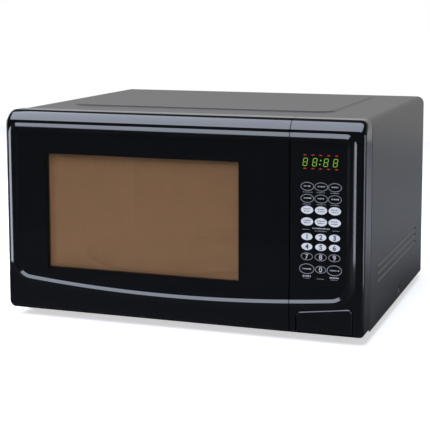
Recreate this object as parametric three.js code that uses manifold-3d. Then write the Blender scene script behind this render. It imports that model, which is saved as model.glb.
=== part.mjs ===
// Countertop microwave oven: cabinet, cavity, hinged door, latch, release button,
// turntable on a roller ring, and the electrical parts behind the control panel.
// Units are millimetres. X is to the right seen from the front, Y goes back, Z is up.
// The origin is the middle of the footprint, on the surface the feet stand on.

import * as THREE from "three";
import { mergeVertices } from "three/addons/utils/BufferGeometryUtils.js";
import Module from "manifold-3d";

const wasm = await Module();
wasm.setup();

// ---- Overall size ----
const WIDTH = 483;
const DEPTH = 400;
const HEIGHT = 277;
const FOOT_HEIGHT = 12;
const GAP = 0.3;

// ---- Front face ----
const FACE_Y = -197.5;
const CREST_Y = -DEPTH / 2;
const PANEL_REAR_Y = -164;
const DOOR_RIGHT = 147;
const PANEL_LEFT = 148;
const HALF = WIDTH / 2;

// ---- Raised bead round the front ----
const BEAD = { left: -232, right: 224.8, top: 255.6, lowest: 42.3, centreX: -6 };
const BEAD_ARC_RADIUS = 2027;
const BEAD_TOP_RADIUS = 9;
const BEAD_BOTTOM_RADIUS = 26;
const BEAD_WIDTH = 10.8;
const PANE_INSET = 5.7;
const PANE_THICKNESS = 3;
const FILM_THICKNESS = 0.6;

// ---- Window, door and hinge ----
const WINDOW = { left: -186, right: 85.5, bottom: 67, top: 224 };
const HINGE_X = -229.3;
const HINGE_Y = -178.3;
const HINGE_ROUND = 14.3;
const PIN_RADIUS = 3;

// ---- Carcass ----
const CASE_SIDE = 240.5;
const CASE_TOP = 275;
const SHEET = 1;
const CASE_FRONT_Y = -163.2;
const CASE_REAR_Y = 197.3;
const FRONT_PLATE_Y = -163.5;
const FRONT_PLATE_REAR_Y = -162.3;

// ---- Cavity ----
const CAVITY = { left: -220, right: 120, front: -162, rear: 176, floor: 34, ceiling: 252 };
const WALL = 0.8;

// ---- Turntable ----
const TABLE_X = -50;
const TABLE_Y = 7;
const TRAY_RADIUS = 157.5;
const TRAY_UNDERSIDE = 50.6;
const ROLLER_RADIUS = 8;
const ROLLER_PITCH = 107;

// ---- Fan ----
const FAN_X = 180;
const FAN_Z = 190;

// ---- Colours and finishes ----
const FINISH = {
  blackPlastic: [0x1b1c1e, 0.35, 0.0],
  blackGlass: [0x101113, 0.12, 0.0],
  darkPaint: [0x3b3b3c, 0.45, 0.1],
  cavityEnamel: [0xb9ad98, 0.5, 0.1],
  zinc: [0xa9abaa, 0.4, 0.9],
  steel: [0x8f9193, 0.35, 0.95],
  aluminium: [0xc4c6c8, 0.35, 0.9],
  copper: [0x9a5a2c, 0.4, 0.9],
  nylon: [0xe4e2da, 0.55, 0.0],
  greyPlastic: [0x6c6e72, 0.5, 0.0],
  rubber: [0x202020, 0.85, 0.0],
  board: [0x2f6a3a, 0.55, 0.0],
  clearGlass: [0xc9dcd8, 0.06, 0.0],
  mica: [0xb79a6a, 0.6, 0.0],
  film: [0x8e8578, 0.15, 0.0],
  keypad: [0x17181a, 0.28, 0.0],
  display: [0x0d1f17, 0.2, 0.0],
};

const group = new THREE.Group();
group.name = "microwave_oven";

// ---- Turning three.js shapes into solids and back ----

function signedVolume(positions, triangles) {
  let volume = 0;
  const a = new THREE.Vector3();
  const b = new THREE.Vector3();
  const c = new THREE.Vector3();
  for (let i = 0; i < triangles.length; i += 3) {
    a.fromArray(positions, triangles[i] * 3);
    b.fromArray(positions, triangles[i + 1] * 3);
    c.fromArray(positions, triangles[i + 2] * 3);
    volume += a.dot(b.cross(c));
  }
  return volume;
}

// Welds a closed geometry, turns it to face outward if needed, and gives a manifold solid.
function solid(geometry) {
  const bare = geometry.index ? geometry.clone() : mergeVertices(geometry.clone());
  for (const name of Object.keys(bare.attributes)) {
    if (name !== "position") bare.deleteAttribute(name);
  }
  const welded = mergeVertices(bare, 1e-4);
  const positions = welded.attributes.position.array;
  const triangles = [];
  const index = welded.index.array;
  for (let i = 0; i < index.length; i += 3) {
    const [p, q, r] = [index[i], index[i + 1], index[i + 2]];
    if (p !== q && q !== r && r !== p) triangles.push(p, q, r);
  }
  if (signedVolume(positions, triangles) < 0) {
    for (let i = 0; i < triangles.length; i += 3) {
      [triangles[i + 1], triangles[i + 2]] = [triangles[i + 2], triangles[i + 1]];
    }
  }
  return new wasm.Manifold(
    new wasm.Mesh({
      numProp: 3,
      vertProperties: new Float32Array(positions),
      triVerts: new Uint32Array(triangles),
    })
  );
}

function geometryOf(shape) {
  const mesh = shape.getMesh();
  const geometry = new THREE.BufferGeometry();
  geometry.setAttribute("position", new THREE.BufferAttribute(new Float32Array(mesh.vertProperties), 3));
  geometry.setIndex(new THREE.BufferAttribute(new Uint32Array(mesh.triVerts), 1));
  const flat = geometry.toNonIndexed();
  flat.computeVertexNormals();
  return flat;
}

function place(name, shape, finish) {
  const [color, roughness, metalness] = FINISH[finish];
  const material = new THREE.MeshStandardMaterial({ color, roughness, metalness });
  const mesh = new THREE.Mesh(geometryOf(shape), material);
  mesh.name = name;
  group.add(mesh);
}

// ---- Basic shapes ----

function box(x0, x1, y0, y1, z0, z1) {
  const geometry = new THREE.BoxGeometry(x1 - x0, y1 - y0, z1 - z0);
  geometry.translate((x0 + x1) / 2, (y0 + y1) / 2, (z0 + z1) / 2);
  return solid(geometry);
}

// A round bar from `start` to `end` along one axis, centred on (u, v) in the other two.
function bar(axis, u, v, start, end, radius, sides = 20, endRadius = radius) {
  const geometry = new THREE.CylinderGeometry(endRadius, radius, end - start, sides);
  if (axis === "x") {
    geometry.rotateZ(-Math.PI / 2);
    geometry.translate((start + end) / 2, u, v);
  } else if (axis === "y") {
    geometry.translate(u, (start + end) / 2, v);
  } else {
    geometry.rotateX(Math.PI / 2);
    geometry.translate(u, v, (start + end) / 2);
  }
  return solid(geometry);
}

// Extrudes a closed outline of [x, z] points from y0 to y1.
function prismY(points, y0, y1) {
  const shape = new THREE.Shape(points.map(([x, z]) => new THREE.Vector2(x, z)));
  const geometry = new THREE.ExtrudeGeometry(shape, { depth: y1 - y0, bevelEnabled: false });
  geometry.rotateX(Math.PI / 2);
  geometry.translate(0, y1, 0);
  return solid(geometry);
}

// Extrudes a closed outline of [y, z] points from x0 to x1.
function prismX(points, x0, x1) {
  const shape = new THREE.Shape(points.map(([y, z]) => new THREE.Vector2(y, z)));
  const geometry = new THREE.ExtrudeGeometry(shape, { depth: x1 - x0, bevelEnabled: false });
  const turn = new THREE.Matrix4();
  turn.makeBasis(new THREE.Vector3(0, 1, 0), new THREE.Vector3(0, 0, 1), new THREE.Vector3(1, 0, 0));
  geometry.applyMatrix4(turn);
  geometry.translate(x0, 0, 0);
  return solid(geometry);
}

// Extrudes a closed outline of [x, y] points from z0 to z1.
function prismZ(points, z0, z1) {
  const shape = new THREE.Shape(points.map(([x, y]) => new THREE.Vector2(x, y)));
  const geometry = new THREE.ExtrudeGeometry(shape, { depth: z1 - z0, bevelEnabled: false });
  geometry.translate(0, 0, z0);
  return solid(geometry);
}

// Turns a profile of [radius, z] points, closed on the axis or on itself, about a vertical axis.
function turned(profile, sides, x = 0, y = 0) {
  const points = profile.map(([r, z]) => new THREE.Vector2(r, z));
  const geometry = new THREE.LatheGeometry(points, sides);
  geometry.rotateX(Math.PI / 2);
  geometry.translate(x, y, 0);
  return solid(geometry);
}

function joined(shapes) {
  return shapes.reduce((whole, next) => whole.add(next));
}

function cutBy(shape, cutters) {
  return cutters.reduce((rest, cutter) => rest.subtract(cutter), shape);
}

// Points along a circular arc, angles in degrees.
function arc(cx, cy, radius, from, to, steps) {
  const points = [];
  for (let i = 0; i <= steps; i += 1) {
    const angle = THREE.MathUtils.degToRad(from + ((to - from) * i) / steps);
    points.push([cx + radius * Math.cos(angle), cy + radius * Math.sin(angle)]);
  }
  return points;
}

// A rectangle with rounded corners, counter-clockwise, with its own radius top and bottom.
function roundedRectangle(left, right, bottom, top, topRadius, bottomRadius = topRadius, steps = 4) {
  return [
    ...arc(left + bottomRadius, bottom + bottomRadius, bottomRadius, 180, 270, steps),
    ...arc(right - bottomRadius, bottom + bottomRadius, bottomRadius, 270, 360, steps),
    ...arc(right - topRadius, top - topRadius, topRadius, 0, 90, steps),
    ...arc(left + topRadius, top - topRadius, topRadius, 90, 180, steps),
  ];
}

// Skins a stack of outlines that have the same number of points, and caps both ends.
// Each section is { at, points }; toPoint places a point of the section in space.
function loft(sections, toPoint) {
  const count = sections[0].points.length;
  const positions = [];
  for (const section of sections) {
    for (const [u, v] of section.points) positions.push(...toPoint(u, v, section.at));
  }
  const indices = [];
  for (let level = 0; level < sections.length - 1; level += 1) {
    for (let i = 0; i < count; i += 1) {
      const a = level * count + i;
      const b = level * count + ((i + 1) % count);
      indices.push(a, b, b + count, a, b + count, a + count);
    }
  }
  const last = (sections.length - 1) * count;
  for (let i = 1; i < count - 1; i += 1) {
    indices.push(0, i + 1, i);
    indices.push(last, last + i, last + i + 1);
  }
  const geometry = new THREE.BufferGeometry();
  geometry.setAttribute("position", new THREE.Float32BufferAttribute(positions, 3));
  geometry.setIndex(indices);
  return solid(geometry);
}

// A wire coil about a straight axis from `start` to `end`.
class CoilPath extends THREE.Curve {
  constructor(centre, direction, radius, length, turns) {
    super();
    this.centre = centre;
    this.direction = direction;
    this.side = new THREE.Vector3(1, 0, 0);
    this.other = new THREE.Vector3().crossVectors(direction, this.side);
    this.radius = radius;
    this.length = length;
    this.turns = turns;
  }

  getPoint(t, target = new THREE.Vector3()) {
    const angle = t * this.turns * 2 * Math.PI;
    target.copy(this.centre);
    target.addScaledVector(this.direction, t * this.length);
    target.addScaledVector(this.side, this.radius * Math.cos(angle));
    target.addScaledVector(this.other, this.radius * Math.sin(angle));
    return target;
  }
}

function coil(centre, direction, radius, length, turns, wire) {
  const path = new CoilPath(centre, direction, radius, length, turns);
  const section = new THREE.Shape(arc(0, 0, wire, 0, 288, 4).map(([x, y]) => new THREE.Vector2(x, y)));
  const options = { steps: turns * 9, bevelEnabled: false, extrudePath: path };
  return solid(new THREE.ExtrudeGeometry(section, options));
}

// ---- Front outline and bead ----

// The bead's outline moved outward by `offset`: two sides, a flat top and a shallow arc below.
function beadOutline(offset) {
  const left = BEAD.left - offset;
  const right = BEAD.right + offset;
  const top = BEAD.top + offset;
  const topRadius = BEAD_TOP_RADIUS + offset;
  const corner = BEAD_BOTTOM_RADIUS + offset;
  const sweep = BEAD_ARC_RADIUS + offset;
  const sweepZ = BEAD.lowest + BEAD_ARC_RADIUS;
  const cornerLeftX = BEAD.left + BEAD_BOTTOM_RADIUS;
  const cornerRightX = BEAD.right - BEAD_BOTTOM_RADIUS;
  const reach = BEAD_ARC_RADIUS - BEAD_BOTTOM_RADIUS;
  const cornerLeftZ = sweepZ - Math.sqrt(reach ** 2 - (cornerLeftX - BEAD.centreX) ** 2);
  const cornerRightZ = sweepZ - Math.sqrt(reach ** 2 - (cornerRightX - BEAD.centreX) ** 2);
  const toDegrees = THREE.MathUtils.radToDeg;
  const angleLeft = toDegrees(Math.atan2(cornerLeftZ - sweepZ, cornerLeftX - BEAD.centreX));
  const angleRight = toDegrees(Math.atan2(cornerRightZ - sweepZ, cornerRightX - BEAD.centreX));
  const lower = arc(BEAD.centreX, sweepZ, sweep, angleLeft, angleRight, 14);
  return [
    ...arc(cornerLeftX, cornerLeftZ, corner, 180, 360 + angleLeft, 7),
    ...lower.slice(1, -1),
    ...arc(cornerRightX, cornerRightZ, corner, 360 + angleRight, 360, 7),
    ...arc(right - topRadius, top - topRadius, topRadius, 0, 90, 5),
    ...arc(left + topRadius, top - topRadius, topRadius, 90, 180, 5),
  ];
}

// The bead: a low ridge carried round the outline as a closed ring. Its crest is nearer the
// inner edge, so the outer slope is wide and shallow and the inner one is steep.
function beadRing() {
  const half = BEAD_WIDTH / 2;
  const rise = FACE_Y - CREST_Y;
  const crest = -BEAD_WIDTH / 8;
  const profile = [
    [-half, FACE_Y],
    [-half * 0.67, FACE_Y - rise * 0.5],
    [crest, CREST_Y],
    [half * 0.3, FACE_Y - rise * 0.68],
    [half * 0.7, FACE_Y - rise * 0.3],
    [half, FACE_Y],
    [0, FACE_Y + 1.2],
  ];
  const rings = profile.map(([offset, y]) => ({ y, points: beadOutline(offset) }));
  const count = rings[0].points.length;
  const positions = [];
  for (const { y, points } of rings) {
    for (const [x, z] of points) positions.push(x, y, z);
  }
  const indices = [];
  for (let ring = 0; ring < rings.length; ring += 1) {
    const next = (ring + 1) % rings.length;
    for (let i = 0; i < count; i += 1) {
      const j = (i + 1) % count;
      const a = ring * count + i;
      const b = ring * count + j;
      const c = next * count + j;
      const d = next * count + i;
      indices.push(a, b, c, a, c, d);
    }
  }
  const geometry = new THREE.BufferGeometry();
  geometry.setAttribute("position", new THREE.Float32BufferAttribute(positions, 3));
  geometry.setIndex(indices);
  return solid(geometry);
}

// The whole front moulding as one block, with a sloped top, a small bottom bevel and the bead.
function frontBlock() {
  const levels = [
    { depth: 0, side: 3.5, top: 12.5, bottom: 4.5 },
    { depth: 0.6, side: 1.6, top: 11.4, bottom: 3.9 },
    { depth: 1.7, side: 0.5, top: 10, bottom: 2.8 },
    { depth: 4.5, side: 0, top: 6.8, bottom: 0 },
    { depth: 7, side: 0, top: 4.2, bottom: 0 },
    { depth: 10, side: 0, top: 1.8, bottom: 0 },
    { depth: 14, side: 0, top: 0, bottom: 0 },
    { depth: PANEL_REAR_Y - FACE_Y, side: 0, top: 0, bottom: 0 },
  ];
  const sections = levels.map(({ depth, side, top, bottom }) => ({
    at: FACE_Y + depth,
    points: roundedRectangle(
      -HALF + side,
      HALF - side,
      FOOT_HEIGHT + bottom,
      HEIGHT - top,
      9 - side * 0.7,
      7 - side * 0.6,
      4
    ),
  }));
  const block = loft(sections, (x, z, y) => [x, y, z]);
  return block.add(beadRing());
}

// ---- Door ----

const FRONT = frontBlock();

// Space at the top and bottom left corners of the door for the hinge arms.
function hingeArmSlot(z0, z1) {
  return box(-HALF - 1, HINGE_X + 9, HINGE_Y - 7.5, PANEL_REAR_Y + 1, z0, z1);
}

function buildDoorFrame() {
  let frame = FRONT.intersect(box(-HALF - 1, DOOR_RIGHT, CREST_Y - 1, 0, 0, HEIGHT + 1));
  const paneSeat = prismY(beadOutline(-PANE_INSET + GAP), CREST_Y - 1, FACE_Y + PANE_THICKNESS + GAP);
  const rearPocket = box(-216, 142, -191.2, PANEL_REAR_Y + 1, 30, 254);
  const opening = box(WINDOW.left, WINDOW.right, -200, -180, WINDOW.bottom, WINDOW.top);
  const corner = box(-HALF - 1, HINGE_X, HINGE_Y, PANEL_REAR_Y + 1, 0, HEIGHT + 1);
  const round = bar("z", HINGE_X, HINGE_Y, -1, HEIGHT + 2, HINGE_ROUND, 40);
  frame = cutBy(frame, [paneSeat, rearPocket, opening, corner.subtract(round)]);
  frame = cutBy(frame, [
    hingeArmSlot(257.5, 261.5),
    hingeArmSlot(27.5, 31.5),
    bar("z", HINGE_X, HINGE_Y, 250.5, 259, PIN_RADIUS + 0.09, 24),
    bar("z", HINGE_X, HINGE_Y, 30, 38.5, PIN_RADIUS + 0.09, 24),
  ]);
  place("door_frame", frame, "blackPlastic");
}

function buildDoorGlass() {
  const outline = prismY(beadOutline(-PANE_INSET), FACE_Y, FACE_Y + PANE_THICKNESS);
  place("door_glass", outline.intersect(box(-HALF, DOOR_RIGHT - 0.3, -210, -180, 0, HEIGHT)), "blackGlass");
}

function buildDoorScreen() {
  const outer = box(-215.5, 122, -190.9, -167.5, 32, 252);
  const inner = box(-214.5, 121, -190.1, -160, 33, 251);
  place("door_screen", outer.subtract(inner), "steel");
}

function buildInnerFilm() {
  place("door_inner_film", box(-214, 120.5, -189.7, -189.1, 33.5, 250.5), "film");
}

function buildChokeCover() {
  const plate = box(-215.5, 141.5, -166.9, -164, 30.5, 253.5);
  const lip = box(-190, 91, -170.5, -164, 58, 230);
  const opening = box(-187, 88, -180, -160, 61, 227);
  const slots = [box(128.5, 144, -170, -160, 74, 93), box(128.5, 144, -170, -160, 204, 223)];
  const stepLip = cutBy(plate.add(lip), [opening, ...slots]);
  place("choke_cover", stepLip, "greyPlastic");
}

function buildLatch() {
  const carrier = box(131, 139, -188, -172, 64, 226);
  const hooks = [];
  for (const z of [80, 210]) {
    hooks.push(box(132, 138, -173, -140, z, z + 6));
    hooks.push(prismX([[-146.5, z + 1], [-146.5, z - 3], [-144, z - 3], [-140, z + 1]], 132, 138));
  }
  place("latch_hook", joined([carrier, ...hooks]), "nylon");
  const up = new THREE.Vector3(0, 0, 1);
  place("latch_spring", coil(new THREE.Vector3(135, -180, 227.2), up, 3.6, 25.6, 6, 0.6), "steel");
}

// ---- Control panel ----

// The button's outline: its top edge follows the arc of the bead at a constant distance.
function buttonOutline(inset) {
  const left = 156 + inset;
  const right = 227 - inset;
  const bottom = 14.8 + inset;
  const radius = 6 - inset;
  const topAt = (x) => 39.6 + ((x - 156) / 71) * 8.8 - inset;
  const slope = THREE.MathUtils.radToDeg(Math.atan2(8.8, 71));
  const leftTop = topAt(left + radius) - radius;
  const rightTop = topAt(right - radius) - radius;
  return [
    [left, bottom],
    [right, bottom],
    ...arc(right - radius, rightTop, radius, 0, 90 + slope, 5),
    ...arc(left + radius, leftTop, radius, 90 + slope, 180, 5),
  ];
}

function buildControlPanel() {
  let frame = FRONT.intersect(box(PANEL_LEFT, HALF + 1, CREST_Y - 1, 0, 0, HEIGHT + 1));
  const filmSeat = prismY(beadOutline(-PANE_INSET + GAP), CREST_Y - 1, FACE_Y + FILM_THICKNESS + GAP);
  const hollow = box(151, 238, -193.5, PANEL_REAR_Y + 1, 16, 260);
  const displayHole = box(159, 213, -200, -190, 209, 239);
  const buttonHole = prismY(buttonOutline(-0.6), -201, -178);
  frame = cutBy(frame, [filmSeat, hollow, displayHole, buttonHole]);
  place("control_panel", frame, "blackPlastic");
  const film = prismY(beadOutline(-PANE_INSET), FACE_Y, FACE_Y + FILM_THICKNESS);
  place("keypad_film", film.intersect(box(PANEL_LEFT + 0.3, HALF, -210, -180, 0, HEIGHT)), "keypad");
}

function buildReleaseButton() {
  const sections = [
    { at: -198.3, points: buttonOutline(1.6) },
    { at: -197.2, points: buttonOutline(0.5) },
    { at: -195.6, points: buttonOutline(0) },
    { at: -186.5, points: buttonOutline(0) },
  ];
  const cap = loft(sections, (x, z, y) => [x, y, z]);
  const stop = box(153.5, 229.5, -192.9, -190.9, 22, 34);
  const stem = box(187, 195, -187, -158.7, 27, 31);
  place("release_button", joined([cap, stop, stem]), "blackPlastic");
  const back = new THREE.Vector3(0, 1, 0);
  place("button_spring", coil(new THREE.Vector3(191, -185.4, 29), back, 7.2, 20.8, 5, 0.7), "steel");
}

function buildDisplayAndBoard() {
  place("display_module", box(159.6, 212.4, -194.9, -184.4, 209.6, 238.4), "display");
  const board = box(154, 234, -184, -182.4, 60, 256);
  const relays = [
    box(160, 182, -182.6, -168, 66, 82),
    box(188, 210, -182.6, -168, 66, 82),
    box(214, 230, -182.6, -170, 64, 92),
  ];
  place("control_board", joined([board, ...relays]), "board");
}

// ---- Latch bracket, switches and release lever behind the front plate ----

const LEVER_Y = -156;
const LEVER_Z = 60;

function buildLatchBracket() {
  const web = box(142, 146, -161.9, -116, 50, 232);
  const ledges = [box(127.5, 146, -161.9, -151, 66, 76.6), box(127.5, 146, -161.9, -151, 196, 206.6)];
  const foot = box(142, 160, -161.9, -159, 96, 190);
  const bearing = bar("x", LEVER_Y, LEVER_Z, 130, 150, PIN_RADIUS + 0.09, 24);
  place("latch_bracket", joined([web, ...ledges, foot]).subtract(bearing), "greyPlastic");
  for (const [name, z] of [["door_switch_lower", 80], ["door_switch_upper", 210]]) {
    const body = box(130, 141.7, -134, -117, z - 4, z + 14);
    const plunger = box(133, 138, -137.5, -133, z + 1, z + 5);
    place(name, body.add(plunger), "nylon");
  }
}

function buildReleaseLever() {
  const shaft = bar("x", LEVER_Y, LEVER_Z, 128, 198, PIN_RADIUS, 24);
  const armLower = box(184, 198, -158.3, -154, 26, 61);
  const armRear = box(130, 137.5, -156, -141, 57.6, 62.4);
  const finger = box(130, 137.5, -146.5, -141, 60, 73.4);
  place("release_lever", joined([shaft, armLower, armRear, finger]), "nylon");
}

// ---- Carcass ----

// The wrapper's cross-section: sides and top with rounded edges, open at the bottom.
function wrapperOutline(inset) {
  const side = CASE_SIDE - inset;
  const top = CASE_TOP - inset;
  const radius = 9 - inset;
  return [
    [side, FOOT_HEIGHT + 0.5],
    ...arc(side - radius, top - radius, radius, 0, 90, 6),
    ...arc(-side + radius, top - radius, radius, 90, 180, 6),
    [-side, FOOT_HEIGHT + 0.5],
  ];
}

// A flat sheet that closes the wrapper's front or rear end, clear of it by a small gap.
function endSheet(y0, y1) {
  const outline = wrapperOutline(SHEET + GAP).map(([x, z]) => [x, z < 20 ? 14.2 : z]);
  return prismY(outline, y0, y1);
}

// A sheet-metal groove running front to back, pressed into one side of the wrapper.
function grooveSection(side, z, half, depth, y0, y1, taper) {
  const outer = side * (CASE_SIDE + 0.01);
  const inner = side * (CASE_SIDE - depth);
  const sections = [
    { at: outer, points: [[y0, z - half], [y1, z - half], [y1, z + half], [y0, z + half]] },
    {
      at: inner,
      points: [
        [y0 + taper, z - half + taper],
        [y1 - taper, z - half + taper],
        [y1 - taper, z + half - taper],
        [y0 + taper, z + half - taper],
      ],
    },
  ];
  return loft(sections, (y, z2, x) => [x, y, z2]);
}

function embossedPanel(rise, spread) {
  const lower = roundedRectangle(-200 - spread, 175 + spread, -97 - spread, 180 + spread, 25, 25, 5);
  const upper = roundedRectangle(-196 - spread, 171 + spread, -93 - spread, 176 + spread, 22, 22, 5);
  const sections = [
    { at: CASE_TOP - 0.5 + rise - 1.5, points: lower },
    { at: CASE_TOP + rise, points: upper },
  ];
  return loft(sections, (x, y, z) => [x, y, z]);
}

const SCREW_Y = 27.5;
const SCREW_Z = 21;
const REAR_SCREWS = [[-225, 150], [225, 150], [-225, 256], [225, 256]];

// A round bar at the side screw, on the left (-1) or right (1), between two distances from the middle.
function sideBar(side, near, far, radius, sides) {
  const [start, end] = side > 0 ? [near, far] : [-far, -near];
  return bar("x", SCREW_Y, SCREW_Z, start, end, radius, sides);
}

function buildOuterCase() {
  const outer = prismY(wrapperOutline(0), CASE_FRONT_Y, CASE_REAR_Y);
  const inner = prismY(wrapperOutline(SHEET).map(([x, z]) => [x, z < 20 ? z - 5 : z]), -200, 220);
  let wrapper = outer.subtract(inner);
  wrapper = wrapper.add(embossedPanel(1.5, 0)).subtract(embossedPanel(0.5, 0));
  for (const side of [-1, 1]) {
    for (const z of [86.5, 77, 67]) {
      wrapper = wrapper.add(grooveSection(side, z, 2.7, 2.3, -119, 149, 0.8));
    }
    wrapper = wrapper.add(sideBar(side, CASE_SIDE - 3, CASE_SIDE - 0.2, 7.2, 16));
  }
  for (const side of [-1, 1]) {
    for (const z of [86.5, 77, 67]) {
      wrapper = wrapper.subtract(grooveSection(side, z, 2.5, 1.4, -118, 148, 1.2));
    }
    wrapper = wrapper.subtract(sideBar(side, CASE_SIDE - 2, CASE_SIDE + 1, 6, 16));
    wrapper = wrapper.subtract(sideBar(side, 230, 250, 2.4, 12));
  }
  place("outer_case", wrapper, "darkPaint");
}

function buildCaseScrews() {
  for (const [name, side] of [["case_screw_left", -1], ["case_screw_right", 1]]) {
    const head = sideBar(side, CASE_SIDE - 1.8, CASE_SIDE - 0.3, 4.2, 14);
    const shank = sideBar(side, 231, CASE_SIDE - 1.8, 1.9, 10);
    const [start, end] = side > 0 ? [CASE_SIDE - 0.9, CASE_SIDE] : [-CASE_SIDE, -CASE_SIDE + 0.9];
    const slot = box(start, end, SCREW_Y - 0.6, SCREW_Y + 0.6, SCREW_Z - 3, SCREW_Z + 3);
    place(name, head.add(shank).subtract(slot), "zinc");
  }
  REAR_SCREWS.forEach(([x, z], number) => {
    const head = bar("y", x, z, 197.6, DEPTH / 2, 4.2, 14);
    const shank = bar("y", x, z, 190, 198, 1.9, 10);
    const slot = box(x - 3, x + 3, 199.1, 201, z - 0.6, z + 0.6);
    place(`rear_screw_${number + 1}`, head.add(shank).subtract(slot), "zinc");
  });
}

function buildRearPanel() {
  let panel = endSheet(196.2, CASE_REAR_Y);
  for (let i = 0; i < 9; i += 1) {
    panel = panel.subtract(box(146 + i * 8, 149.5 + i * 8, 190, 200, 158, 222));
  }
  for (let i = 0; i < 8; i += 1) {
    panel = panel.subtract(box(-205 + i * 8, -201.5 + i * 8, 190, 200, 200, 240));
  }
  for (const [x, z] of REAR_SCREWS) {
    panel = panel.subtract(bar("y", x, z, 190, 200, 2.4, 12));
  }
  place("rear_panel", panel.subtract(bar("y", 200, 44, 190, 200, 9, 16)), "zinc");
}

function buildBasePlate() {
  let plate = box(-239.2, 239.2, -162, 196, 12.8, 13.8);
  plate = plate.add(box(234.9, 235.9, -150, 185, 13.5, 30)).add(box(-235.9, -234.9, -150, 185, 13.5, 30));
  for (let i = 0; i < 7; i += 1) {
    plate = plate.subtract(box(140, 220, -2 + i * 8, 1.5 + i * 8, 10, 16));
  }
  for (const side of [-1, 1]) {
    plate = plate.subtract(sideBar(side, 230, 240, 2.4, 12));
  }
  place("base_plate", plate, "zinc");
}

function buildFeet() {
  for (const [end, y] of [["front", -119], ["rear", 160]]) {
    for (const [side, x] of [["left", -192], ["right", 192]]) {
      place(`foot_${end}_${side}`, bar("z", x, y, 0, 12.5, 9.5, 18, 12), "rubber");
    }
  }
}

function buildFrontPlate() {
  const plate = endSheet(FRONT_PLATE_Y, FRONT_PLATE_REAR_Y);
  const cutters = [
    box(CAVITY.left, CAVITY.right - 1.2, -170, -150, CAVITY.floor, CAVITY.ceiling),
    box(127.5, 145, -170, -150, 78.5 - 3, 94),
    box(127.5, 145, -170, -150, 208.5 - 3, 224),
    box(185, 197, -170, -150, 25, 33),
    box(-236, -222.5, -170, -150, 257, 262),
    box(-236, -222.5, -170, -150, 27, 32),
  ];
  place("front_plate", cutBy(plate, cutters), "cavityEnamel");
}

function buildCavity() {
  const { left, right, front, rear, floor, ceiling } = CAVITY;
  const hub = bar("z", TABLE_X, TABLE_Y, 0, 60, 7, 16);
  const bottom = box(left - WALL, right + WALL, front, rear, floor - WALL, floor);
  place("cavity_floor", bottom.subtract(hub), "cavityEnamel");
  const lid = box(left - WALL, right + WALL, front, rear, ceiling, ceiling + WALL);
  place("cavity_ceiling", lid, "cavityEnamel");
  let leftWall = box(left - WALL, left, front, rear, floor + GAP, ceiling - GAP);
  for (let i = 0; i < 7; i += 1) {
    leftWall = leftWall.subtract(box(left - 5, left + 5, -60 + i * 9, -56 + i * 9, 196, 224));
  }
  place("cavity_left_wall", leftWall, "cavityEnamel");
  let rightWall = box(right, right + WALL, front, rear, floor + GAP, ceiling - GAP);
  rightWall = rightWall.subtract(box(right - 5, right + 5, 10, 90, 122, 192));
  rightWall = rightWall.subtract(bar("x", 120, 211, right - 5, right + 5, 8, 16));
  place("cavity_right_wall", rightWall, "cavityEnamel");
  const back = rear + GAP;
  const rearWall = box(left - WALL, right + WALL, back, back + WALL, floor - WALL, ceiling + WALL);
  place("cavity_rear_wall", rearWall, "cavityEnamel");
  place("waveguide_cover", box(right - 0.9, right - GAP, 2, 98, 114, 200), "mica");
}

function buildHingeBrackets() {
  const top = ["hinge_bracket_top", 258, 261, 248, 264, 251];
  const bottom = ["hinge_bracket_bottom", 28, 31, 16, 42, 38];
  for (const [name, armLow, armHigh, flangeLow, flangeHigh, pinEnd] of [top, bottom]) {
    const arm = box(HINGE_X - 4, HINGE_X + 4, HINGE_Y, -160, armLow, armHigh);
    const eye = bar("z", HINGE_X, HINGE_Y, armLow, armHigh, 4.6, 20);
    const flange = box(HINGE_X - 6, HINGE_X + 6.5, -161.9, -160, flangeLow, flangeHigh);
    const middle = (armLow + armHigh) / 2;
    const [low, high] = pinEnd < middle ? [pinEnd, middle] : [middle, pinEnd];
    const pin = bar("z", HINGE_X, HINGE_Y, low, high, PIN_RADIUS, 24);
    place(name, joined([arm, eye, flange, pin]), "zinc");
  }
}

// ---- Turntable ----

function buildTurntable() {
  place("turntable_motor", bar("z", TABLE_X, TABLE_Y, 15, 30, 24, 28), "zinc");
  const shaft = bar("z", TABLE_X, TABLE_Y, 30.4, 40, 4, 14);
  const hub = bar("z", TABLE_X, TABLE_Y, 38, 49.5, 8, 18);
  const lobes = [];
  for (let i = 0; i < 3; i += 1) {
    const angle = (i * 2 * Math.PI) / 3 + Math.PI / 2;
    lobes.push(bar("z", TABLE_X + 10 * Math.cos(angle), TABLE_Y + 10 * Math.sin(angle), 40, 48, 5, 12));
  }
  place("drive_coupler", joined([shaft, hub, ...lobes]), "nylon");
  const under = TRAY_UNDERSIDE;
  const profile = [
    [0, under], [132, under], [140, under + 1.6], [155.5, under + 9.5], [TRAY_RADIUS, under + 11],
    [TRAY_RADIUS, under + 13], [155, under + 13.4], [138, under + 5.6], [130, under + 4.6], [0, under + 4.6],
  ];
  const plate = turned(profile, 56, TABLE_X, TABLE_Y);
  const lugs = [];
  for (let i = 0; i < 3; i += 1) {
    const angle = (i * 2 * Math.PI) / 3 - Math.PI / 2;
    lugs.push(bar("z", TABLE_X + 15 * Math.cos(angle), TABLE_Y + 15 * Math.sin(angle), 43, under + 1, 4, 10));
  }
  place("glass_tray", joined([plate, ...lugs]), "clearGlass");
}

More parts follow.
